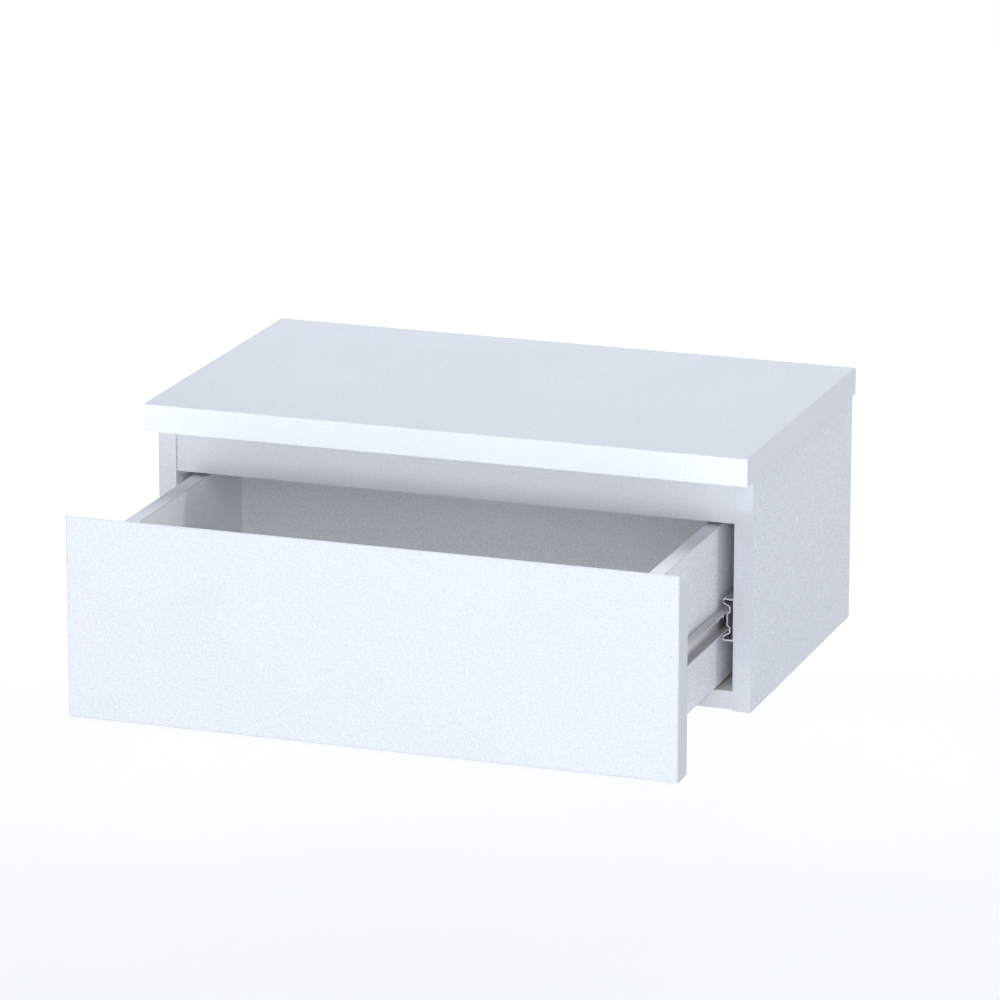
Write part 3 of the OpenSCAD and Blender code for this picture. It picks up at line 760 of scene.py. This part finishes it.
@dataclass
class EdgeBands:
    """All the glued edge bands of the carcass, the top and the drawer."""

    size: Layout
    top_nosing: bpy.types.Material
    top_end: bpy.types.Material
    carcass: bpy.types.Material
    box: bpy.types.Material
    front: bpy.types.Material
    slot: str = "white_edge_band"

    def _piece(
        self,
        name: str,
        strips: Sequence[Strip],
        body: Body,
        materials: Sequence[bpy.types.Material],
    ) -> None:
        """Makes the bands of one node.

        Args:
            name: The node that they stand for.
            strips: The lengths of band.
            body: What they ride on.
            materials: The first strip's finish, and that of the others where it differs.
        """
        shape = bmesh.new()
        for i, strip in enumerate(strips):
            corners = strip.build(shape)
            for face in {face for corner in corners for face in corner.link_faces}:
                face.material_index = min(i, len(materials) - 1)
        piece = make_piece(f"{name}_strips", shape, materials[0], body, name)
        for material in materials[1:]:
            piece.data.materials.append(material)

    def build_top(self) -> None:
        """Bands the front and both ends of the top panel."""
        s = self.size
        x, z0, z1 = s.top_w / 2, s.carcass_h, s.carcass_h + s.top_t
        front = -s.top_d
        self._piece(
            "top_edge_band",
            [
                Strip((-x, front, z0), (x, front + s.edge_t, z1), FRONT),
                Strip((x - s.edge_t, front + s.edge_t, z0), (x, 0, z1), RIGHT, (FRONT,)),
                Strip((-x, front + s.edge_t, z0), (-x + s.edge_t, 0, z1), LEFT, (FRONT,)),
            ],
            Body.CARCASS,
            (self.top_nosing, self.top_end),
        )

    def build_sides(self) -> None:
        """Bands the front and lower edges of the side panels."""
        s = self.size
        front = -s.carcass_d
        strips = []
        for x0, x1 in ((s.inner_x, s.carcass_w / 2), (-s.carcass_w / 2, -s.inner_x)):
            strips.append(Strip((x0, front, 0), (x1, front + s.edge_t, s.carcass_h), FRONT, (UP,)))
            strips.append(Strip((x0, front + s.edge_t, 0), (x1, 0, s.edge_t), DOWN, (FRONT,)))
        self._piece("side_edge_bands", strips, Body.CARCASS, (self.carcass,))

    def build_bottom(self) -> None:
        """Bands the front edge of the bottom panel."""
        s = self.size
        y = -s.carcass_d + s.bottom_recess
        low, high = (-s.inner_x, y, 0), (s.inner_x, y + s.edge_t, s.board_t)
        strips = [Strip(low, high, FRONT, (LEFT, RIGHT))]
        self._piece("bottom_edge_band", strips, Body.CARCASS, (self.carcass,))

    def build_rail(self) -> None:
        """Bands the lower edge of the front rail."""
        s = self.size
        y, z = -s.carcass_d + s.rail_recess, s.carcass_h - s.rail_h
        low, high = (-s.inner_x, y, z), (s.inner_x, y + s.board_t, z + s.edge_t)
        strips = [Strip(low, high, DOWN, (LEFT, RIGHT))]
        self._piece("front_rail_edge_band", strips, Body.CARCASS, (self.carcass,))

    def build_box(self) -> None:
        """Bands the upper edges of the drawer box."""
        s = self.size
        x0, x1 = s.box_w / 2 - s.box_t, s.box_w / 2
        y0, y1 = s.front_back_y, s.box_back_y
        z0, z1 = s.box_top - s.edge_t, s.box_top
        strips = [
            Strip((x0, y0, z0), (x1, y1, z1), UP, (FRONT,)),
            Strip((-x1, y0, z0), (-x0, y1, z1), UP, (FRONT,)),
            Strip((-x0, y0, z0), (x0, y0 + s.box_t, z1), UP, (FRONT, LEFT, RIGHT)),
            Strip((-x0, y1 - s.box_t, z0), (x0, y1, z1), UP, (LEFT, RIGHT)),
        ]
        self._piece("drawer_box_edge_bands", strips, Body.DRAWER, (self.box,))

    def build_front(self) -> None:
        """Bands the drawer front, whose upper edge slopes down to its back."""
        s = self.size
        x, y0, y1 = s.carcass_w / 2, s.face_y, s.front_back_y
        foot, rise = s.front_foot, s.edge_t / math.cos(math.radians(s.grip_slope))
        brow = s.front_top - rise
        shape = bmesh.new()
        Strip((-x, y0, foot), (x, y1, foot + s.edge_t), DOWN).build(shape)
        top = Strip((-x, y0, brow), (x, y1, s.front_top), UP).build(shape)
        ends = []
        for side, outward in ((x - s.edge_t, RIGHT), (-x, LEFT)):
            low, high = (side, y0, foot + s.edge_t), (side + s.edge_t, y1, brow)
            ends += Strip(low, high, outward, (UP, DOWN)).build(shape)
        half = (foot + brow) / 2
        for vert in top + [end for end in ends if end.co.z > half]:
            vert.co.z -= (vert.co.y - y0) * s.slope
        name = "drawer_front_edge_band"
        make_piece(f"{name}_strips", shape, self.front, Body.DRAWER, name)

    def build(self) -> None:
        """Builds every band."""
        self.build_top()
        self.build_sides()
        self.build_bottom()
        self.build_rail()
        self.build_box()
        self.build_front()


@dataclass
class PanHeadScrew:
    """A zinc-plated screw with a domed head and a cross recess. Its shank runs along -Z."""

    shank_d: float
    shank_l: float
    head_d: float
    head_h: float
    drive: float
    pitch: float = 1.4

    def shape(self) -> bmesh.types.BMesh:
        """Returns the screw with the underside of its head at the origin."""
        head, shank = self.head_d / 2, self.shank_d / 2
        core = shank * 0.72
        edge = self.head_h * 0.45
        crown = self.head_h * 0.16
        profile = [(0.0, self.head_h), (head * 0.55, self.head_h - crown * 0.35)]
        profile += rounded_corner((head - edge, self.head_h - crown - edge), edge, 70, 0)
        profile += [(head, 0.08), (head - 0.1, 0.0), (shank, 0.0)]
        for i in range(int(self.shank_l / self.pitch) - 1):
            z = -0.8 - i * self.pitch
            profile += [(core, z), (core, z - 0.55), (shank, z - 0.95)]
        profile += [(core, -self.shank_l + 1.2), (0.4, -self.shank_l), (0.0, -self.shank_l)]
        body = turned(profile, 32)
        cross = drive_recess(self.drive, self.drive * 0.24, self.head_h * 0.55, self.head_h)
        return carve(body, [cross])


@dataclass
class CamHousing:
    """A die-cast cam drum. Its visible face looks along +Z at the origin."""

    diameter: float = 15.0
    height: float = 12.0
    pocket_d: float = 7.4
    bolt_depth: float = 7.5
    drive: float = 8.0

    def shape(self) -> bmesh.types.BMesh:
        """Returns the drum, with the pocket for its bolt opening toward -X."""
        radius = self.diameter / 2
        profile = [(0.0, -0.35), (2.6, -0.35), (2.8, 0.0), (5.3, 0.0), (5.45, -0.3), (5.95, -0.3)]
        profile += [(6.1, 0.0), (radius - 0.4, 0.0), (radius, -0.4), (radius, -self.height + 0.4)]
        profile += [(radius - 0.4, -self.height), (0.0, -self.height)]
        drum = turned(profile)
        pocket = bmesh.new()
        bmesh.ops.create_cone(
            pocket,
            cap_ends=True,
            segments=32,
            radius1=self.pocket_d / 2,
            radius2=self.pocket_d / 2,
            depth=self.diameter + 2.5,
            matrix=Matrix.Translation(((2.5 - self.diameter) / 2, 0, -self.bolt_depth))
            @ Matrix.Rotation(math.pi / 2, 4, "Y"),
        )
        cross = drive_recess(self.drive, 1.5, 2.6, 0.0)
        return carve(drum, [pocket, cross])


@dataclass
class Bumper:
    """A clear domed pad. Its flat side is at the origin and its dome looks along +Z."""

    diameter: float = 8.0
    height: float = 2.0

    def shape(self) -> bmesh.types.BMesh:
        """Returns the pad."""
        radius, z = self.diameter / 2, self.height
        profile = [(0.0, z), (radius * 0.45, z - 0.03), (radius * 0.72, z - 0.22)]
        profile += [(radius * 0.9, z - 0.62), (radius * 0.98, z - 1.15), (radius, 0.15)]
        profile += [(radius - 0.12, 0.0), (0.0, 0.0)]
        return turned(profile)


def facing(point: Sequence[float], ahead: Sequence[float], up: Sequence[float] = UP) -> Matrix:
    """Returns a place whose +Z looks one way and whose +X is as near as can be to another.

    Args:
        point: Where the origin goes.
        ahead: Where +Z looks.
        up: Where +X looks.

    Returns:
        The place.
    """
    z = Vector(ahead).normalized()
    x = (Vector(up) - z * Vector(up).dot(z)).normalized()
    y = z.cross(x)
    return Matrix.Translation(point) @ Matrix((x, y, z)).transposed().to_4x4()


def mirrored(places: Sequence[Matrix]) -> list[Matrix]:
    """Returns places on the right together with their mirror images on the left."""
    flip = Matrix.Scale(-1, 4, (1, 0, 0))
    return [*places, *(flip @ place for place in places)]


@dataclass
class Fittings:
    """The screws, cam housings and bumpers."""

    size: Layout
    screw_steel: bpy.types.Material
    zinc: bpy.types.Material
    clear: bpy.types.Material
    outer_screws: Sequence[float] = (30.0, 125.0, 220.0)
    inner_screws: Sequence[float] = (30.0, 170.8, 214.0)
    front_screw_x: float = 150.0
    front_screw_z: Sequence[float] = (54.0, 113.0)
    front_joint_y: float = -234.0
    rear_joint_y: float = -50.0
    cam_reach: float = 24.0
    rail_bolt_z: float = 175.0
    fixing_z: Sequence[float] = (40.0, 154.0)
    bumper_inset: float = 12.0

    def _piece(
        self,
        name: str,
        shape: bmesh.types.BMesh,
        places: Sequence[Matrix],
        material: bpy.types.Material,
        body: Body,
        slot: str,
    ) -> None:
        """Makes the copies of one fitting as one piece.

        Args:
            name: The node that they stand for.
            shape: One fitting.
            places: Where the copies go.
            material: Their finish.
            body: What they ride on.
            slot: Not used.
        """
        make_piece(f"{name}_set", merge_copies(shape, places), material, body, name, 35.0)

    def build_screws(self) -> None:
        """Builds the screws of the slides and of the drawer front."""
        s = self.size
        x = s.inner_x - s.outer_t
        heads = [facing((x, s.slide_y + y, s.slide_z), LEFT) for y in self.outer_screws]
        screw = PanHeadScrew(shank_d=5.0, shank_l=12.0, head_d=6.4, head_h=1.4, drive=4.0).shape()
        args = (self.screw_steel, Body.CARCASS, "screw_steel")
        self._piece("slide_carcass_screws", screw, mirrored(heads), *args)
        x = s.box_w / 2 + s.inner_t
        heads = [facing((x, s.slide_y + y, s.slide_z), RIGHT) for y in self.inner_screws]
        screw = PanHeadScrew(shank_d=3.5, shank_l=10.0, head_d=6.0, head_h=1.8, drive=3.6).shape()
        args = (self.screw_steel, Body.DRAWER, "screw_steel")
        self._piece("slide_drawer_screws", screw, mirrored(heads), *args)
        y = s.front_back_y + s.box_t
        heads = [facing((self.front_screw_x, y, z), REAR) for z in self.front_screw_z]
        screw = PanHeadScrew(shank_d=4.0, shank_l=25.0, head_d=8.0, head_h=2.4, drive=4.8).shape()
        self._piece("drawer_front_screws", screw, mirrored(heads), *args)

    def build_cams(self) -> None:
        """Builds the cam housings, each turned so that its pocket meets its bolt."""
        s = self.size
        inside = s.inner_x - self.cam_reach
        places = []
        for y in (self.front_joint_y, self.rear_joint_y):
            places.append(facing((inside, y, 0), DOWN, LEFT))
            places.append(facing((s.inner_x, y, s.carcass_h - self.cam_reach), LEFT, DOWN))
        rail_back = -s.carcass_d + s.rail_recess + s.board_t
        places.append(facing((inside, rail_back, self.rail_bolt_z), REAR, LEFT))
        places += [facing((inside, 0, z), REAR, LEFT) for z in self.fixing_z]
        args = (self.zinc, Body.CARCASS, "zinc_fitting")
        self._piece("cam_housings", CamHousing().shape(), mirrored(places), *args)

    def build_bumpers(self) -> None:
        """Builds the pads behind the drawer front's corners."""
        s = self.size
        x = s.carcass_w / 2 - s.board_t / 2
        back_top = s.front_top - s.front_t * s.slope
        heights = (s.front_foot + self.bumper_inset, back_top - self.bumper_inset)
        places = [facing((x, s.front_back_y, z), REAR) for z in heights]
        args = (self.clear, Body.DRAWER, "clear_bumper")
        self._piece("front_bumpers", Bumper().shape(), mirrored(places), *args)

    def build(self) -> None:
        """Builds every fitting."""
        self.build_screws()
        self.build_cams()
        self.build_bumpers()


# The direction through each board, and which of its two faces, the one inside the carcass, is painted
# paler as painted light.
BOARDS = {
    "top_panel": (Axis.Z, 0),
    "left_side_panel": (Axis.X, 1),
    "right_side_panel": (Axis.X, 0),
    "bottom_panel": (Axis.Z, 1),
    "front_rail": (Axis.Y, None),
    "hanging_rail": (Axis.Y, None),
    "lower_back_rail": (Axis.Y, None),
    "drawer_front": (Axis.Y, None),
    "drawer_left_side": (Axis.X, None),
    "drawer_right_side": (Axis.X, None),
    "drawer_sub_front": (Axis.Y, None),
    "drawer_back": (Axis.Y, None),
}


@dataclass
class Boards:
    """The boards of the frame, each white on its faces and raw where it was cut."""

    nodes: dict
    top: WhiteMelamine
    carcass: WhiteMelamine
    rail: WhiteMelamine
    front: WhiteMelamine
    drawer: WhiteMelamine
    drawer_side: WhiteMelamine
    hardboard: Hardboard

    def _finish_of(self, name: str) -> WhiteMelamine:
        """Returns the facing of a board."""
        # boards whose shades of their own hold painted light and shade
        own = {
            "drawer_front": self.front,
            "front_rail": self.rail,
            "top_panel": self.top,
            "drawer_right_side": self.drawer_side,
        }
        return own.get(name, self.drawer if name.startswith("drawer_") else self.carcass)

    def dress(self) -> None:
        """Gives every board its material."""
        for name, (axis, inner) in BOARDS.items():
            # the face inside the carcass gets the paler white, as painted light
            faces = [corner[axis.value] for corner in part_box(name)]
            inside = None if inner is None else faces[inner]
            board = self._finish_of(name).board(name, axis, *faces, inside)
            dress_node(self.nodes[name], board)
        low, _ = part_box("back_panel")
        panel = self.hardboard.panel("back_panel", self.carcass, Axis.Y, low.y)
        dress_node(self.nodes["back_panel"], panel)
        _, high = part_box("drawer_floor")
        panel = self.hardboard.panel("drawer_floor", self.drawer, Axis.Z, high.z)
        dress_node(self.nodes["drawer_floor"], panel)


def dress_node(node: bpy.types.Object, material: bpy.types.Material) -> None:
    """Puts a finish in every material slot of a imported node."""
    if not node.material_slots:
        node.data.materials.append(material)
    for slot in node.material_slots:
        slot.material = material
    LOG.info("%s: dressed", node.name)


@dataclass
class Slides:
    """The telescopic slides of the frame, with their cages, balls and stops."""

    nodes: dict
    member: bpy.types.Material
    cage: bpy.types.Material
    ball: bpy.types.Material
    stop: bpy.types.Material

    def dress(self) -> None:
        """Gives every member, cage, ball and stop its material."""
        for side in ("left", "right"):
            for member in ("outer", "middle", "inner"):
                dress_node(self.nodes[f"{side}_slide_{member}"], self.member)
            for row in ("outer", "inner"):
                dress_node(self.nodes[f"{side}_{row}_ball_cage"], self.cage)
                dress_node(self.nodes[f"{side}_{row}_balls"], self.ball)
        dress_node(self.nodes["slide_rear_stops"], self.stop)


# ---------------- studio


def toward(azimuth: float, elevation: float) -> Vector:
    """Returns the direction of a light.

    Args:
        azimuth: Degrees round from the cabinet's front, with 90 on its right.
        elevation: Degrees above the horizon.

    Returns:
        The unit vector from the cabinet to the light.
    """
    turn, rise = math.radians(azimuth), math.radians(elevation)
    level = math.cos(rise)
    return Vector((math.sin(turn) * level, -math.cos(turn) * level, math.sin(rise)))


def hang_light(light: bpy.types.Light, source: Vector, place: Vector) -> bpy.types.Object:
    """Returns the object of a light that stands at a place and shines from its source's direction."""
    thing = stand(light.name, light)
    thing.location = place
    thing.rotation_euler = source.to_track_quat("Z", "Y").to_euler()
    return thing


@dataclass(frozen=True)
class Softbox:
    """A wide flat light at an even distance from the cabinet."""

    name: str
    azimuth: float
    elevation: float
    width: float
    height: float
    power: float
    distance: float = 3.0
    aim: Point = (0.0, -0.25, 0.0)

    def build(self, tint: Colour) -> None:
        """Adds the light in a colour."""
        light = bpy.data.lights.new(self.name, "AREA")
        light.shape = "RECTANGLE"
        light.size = 2 * self.distance * math.tan(math.radians(self.width / 2))
        light.size_y = 2 * self.distance * math.tan(math.radians(self.height / 2))
        light.energy = self.power
        light.color = tint
        source = toward(self.azimuth, self.elevation)
        box = hang_light(light, source, Vector(self.aim) + source * self.distance)
        box.visible_camera = False


@dataclass(frozen=True)
class Beam:
    """A far light of one or two degrees, which draws the edge of light inside the drawer."""

    name: str
    azimuth: float
    elevation: float
    width: float
    strength: float

    def build(self, tint: Colour) -> None:
        """Adds the light in a colour."""
        light = bpy.data.lights.new(self.name, "SUN")
        light.energy = self.strength
        light.color = tint
        light.angle = math.radians(self.width)
        hang_light(light, toward(self.azimuth, self.elevation), Vector((0.0, 0.0, 2.0)))


@dataclass
class Studio:
    """The pale floor, the lights and the camera."""

    lights: Sequence[Union[Softbox, Beam]]
    glow: Sequence[tuple[float, float]]
    tint: Colour = (0.959, 0.958, 0.973)
    backdrop: Colour = (1.0, 1.0, 1.0)
    floor_z: float = -0.75
    floor_radius: float = 40.0
    camera_at: Point = (1.49801, -4.41722, 1.28968)
    look_at: Point = (0.04098, -0.275, 0.05588)
    roll: float = 0.0248
    lens: float = 210.09

    def build_floor(self) -> None:
        """Lays the floor, far below the cabinet. Its own glow is faint below it and grows outward.

        The floor can be looked through from its underside.
        """
        graph = Graph("studio_floor")
        at = graph.place()
        mottle = graph.noise(at, 3.0, 2.0, 0.5)
        reach = self.glow[-1][0]
        stops = [(far / reach, (level, level, level)) for far, level in self.glow]
        far = graph.node("ShaderNodeVectorMath", {"operation": "LENGTH"}, {0: at}, "Value")
        lit = graph.node(
            "ShaderNodeBsdfPrincipled",
            sockets={
                "Base Color": graph.mix(mottle, (0.88, 0.92, 0.93), (0.92, 0.95, 0.95)),
                "Roughness": 0.9,
                "Specular IOR Level": 0.0,
                "Emission Color": graph.ramp(far * (1.0 / reach), stops),
                "Emission Strength": 1.0,
            },
        )
        clear = graph.node("ShaderNodeBsdfTransparent")
        underside = graph.node("ShaderNodeNewGeometry", out="Backfacing")
        material = graph.end(graph.node("ShaderNodeMixShader", sockets={0: underside, 1: lit, 2: clear}))
        shape = bmesh.new()
        bmesh.ops.create_circle(shape, cap_ends=True, segments=96, radius=self.floor_radius)
        bmesh.ops.translate(shape, vec=(0, 0, self.floor_z), verts=shape.verts)
        mesh = settle(shape, "studio_floor")
        mesh.materials.append(material)
        stand("studio_floor", mesh)

    def build_backdrop(self) -> None:
        """Makes the far backdrop white to look at, while the lights alone light the cabinet."""
        world = bpy.data.worlds.new("studio_backdrop")
        world.use_nodes = True
        tree = world.node_tree
        background = tree.nodes["Background"]
        background.inputs["Color"].default_value = (*self.backdrop, 1.0)
        path = tree.nodes.new("ShaderNodeLightPath")
        tree.links.new(path.outputs["Is Camera Ray"], background.inputs["Strength"])
        bpy.context.scene.world = world

    def build_camera(self) -> None:
        """Sets the camera where the photograph was taken from."""
        data = bpy.data.cameras.new("camera")
        data.sensor_width = 36.0
        data.lens = self.lens
        data.clip_start, data.clip_end = 0.1, 100.0
        camera = stand("camera", data)
        camera.location = self.camera_at
        back = Vector(self.camera_at) - Vector(self.look_at)
        roll = Matrix.Rotation(math.radians(self.roll), 3, "Z")
        turn = back.to_track_quat("Z", "Y").to_matrix() @ roll
        camera.rotation_euler = turn.to_euler()
        bpy.context.scene.camera = camera

    def build(self) -> None:
        """Builds the whole studio."""
        self.build_camera()
        self.build_floor()
        self.build_backdrop()
        for light in self.lights:
            light.build(self.tint)
        scene = bpy.context.scene
        scene.view_settings.view_transform = "Standard"
        scene.cycles.use_denoising = True


# How far out on the floor, in metres, and how strongly it glows there.
GLOW = ((0.0, 0.03), (1.2, 0.04), (2.0, 0.20), (3.0, 0.72), (4.5, 0.95), (10.0, 0.93))

# Name, azimuth, elevation, width and height in degrees, and power in watts. The beam has one width,
# and its strength is in watts to the square metre.
LIGHTS = (
    Softbox("front_low_left", -18.0, 2.0, 36.0, 4.0, 18.2),
    Softbox("front_low_right", 18.0, 2.0, 36.0, 4.0, 5.0),
    Softbox("front_floor_right", 18.0, -2.0, 36.0, 4.0, 6.9),
    Softbox("front_right", 15.0, 7.0, 30.0, 14.0, 12.3),
    Softbox("front_right_up", 15.0, 24.0, 30.0, 20.0, 13.7),
    Softbox("right_high", 30.0, 40.0, 40.0, 10.0, 13.4),
    Softbox("left_high", -90.0, 40.0, 50.0, 40.0, 30.5),
    Softbox("rear_high", 180.0, 50.0, 50.0, 30.0, 93.0),
    Beam("right_beam", 94.0, 16.0, 1.5, 0.50),
)


def main() -> None:
    """Loads the frame, dresses it, adds the detailed pieces and sets up the studio."""
    logging.basicConfig(level=logging.INFO, format="%(name)s: %(message)s")
    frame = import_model()
    nodes = frame["nodes"]
    Studio(LIGHTS, GLOW).build()

    # Each board has its own shade. Beyond the boards' white, the differences are painted light and shade:
    # the drawer's boards are painted paler, as painted light inside the drawer, and its right side and
    # the top darker, as painted shade.
    top = WhiteMelamine((0.648, 0.704, 0.781))
    carcass = WhiteMelamine((0.670, 0.712, 0.808), spread=0.60, sparkle=0.24)
    rail = WhiteMelamine((0.663, 0.691, 0.742), spread=0.22)
    front = WhiteMelamine((0.673, 0.717, 0.775), spread=0.36, roughness=0.40)
    drawer = WhiteMelamine((0.896, 0.917, 0.942), spread=0.46, roughness=0.46)
    drawer_side = WhiteMelamine((0.757, 0.780, 0.844), spread=0.58, roughness=0.46, sparkle=0.26)
    Boards(nodes, top, carcass, rail, front, drawer, drawer_side, Hardboard()).dress()
    # The bands' shades also differ as painted light and shade: the top's front band is painted paler as
    # painted light, and the drawer box's bands and the drawer front's band darker as painted shade.
    shades = {
        "top_nosing": (0.860, 0.915, 0.955),
        "top_end": (0.650, 0.686, 0.783),
        "carcass_band": (0.656, 0.686, 0.748),
        "box_band": (0.670, 0.706, 0.785),
        "front_band": (0.607, 0.643, 0.726),
    }
    satin = {"spread": 0.25, "roughness": 0.36, "pearl": 700.0, "pearl_mm": 0.06}
    bands = [WhiteMelamine(shade, **satin).make(name) for name, shade in shades.items()]
    EdgeBands(LAYOUT, *bands).build()

    member = RolledSteel().make("slide_member")
    cage = RolledSteel((0.40, 0.41, 0.42), (0.58, 0.59, 0.61), 0.38).make("ball_cage")
    ball = CastMetal((0.70, 0.70, 0.71), (0.82, 0.82, 0.83), 0.10, 900.0, 0.001).make("ball")
    stop = MouldedPlastic((0.012, 0.012, 0.013), (0.035, 0.035, 0.037), 0.5, 1600.0, 0.01)
    Slides(nodes, member, cage, ball, stop.make("rear_stop")).dress()

    zinc = CastMetal((0.42, 0.43, 0.45), (0.60, 0.61, 0.63), 0.45, 1400.0, 0.02).make("cast_zinc")
    screw = CastMetal((0.55, 0.55, 0.56), (0.74, 0.74, 0.75), 0.27, 1800.0, 0.004).make("screw_zinc")
    clear = MouldedPlastic((0.80, 0.83, 0.85), (0.90, 0.93, 0.95), 0.22, 500.0, 0.004, 0.75)
    Fittings(LAYOUT, screw, zinc, clear.make("clear_pad")).build()
    dress_node(nodes["cam_bolts"], screw)
    beech = Beech().make("beech")
    dress_node(nodes["carcass_dowels"], beech)
    dress_node(nodes["drawer_dowels"], beech)


if __name__ == "__main__":
    main()
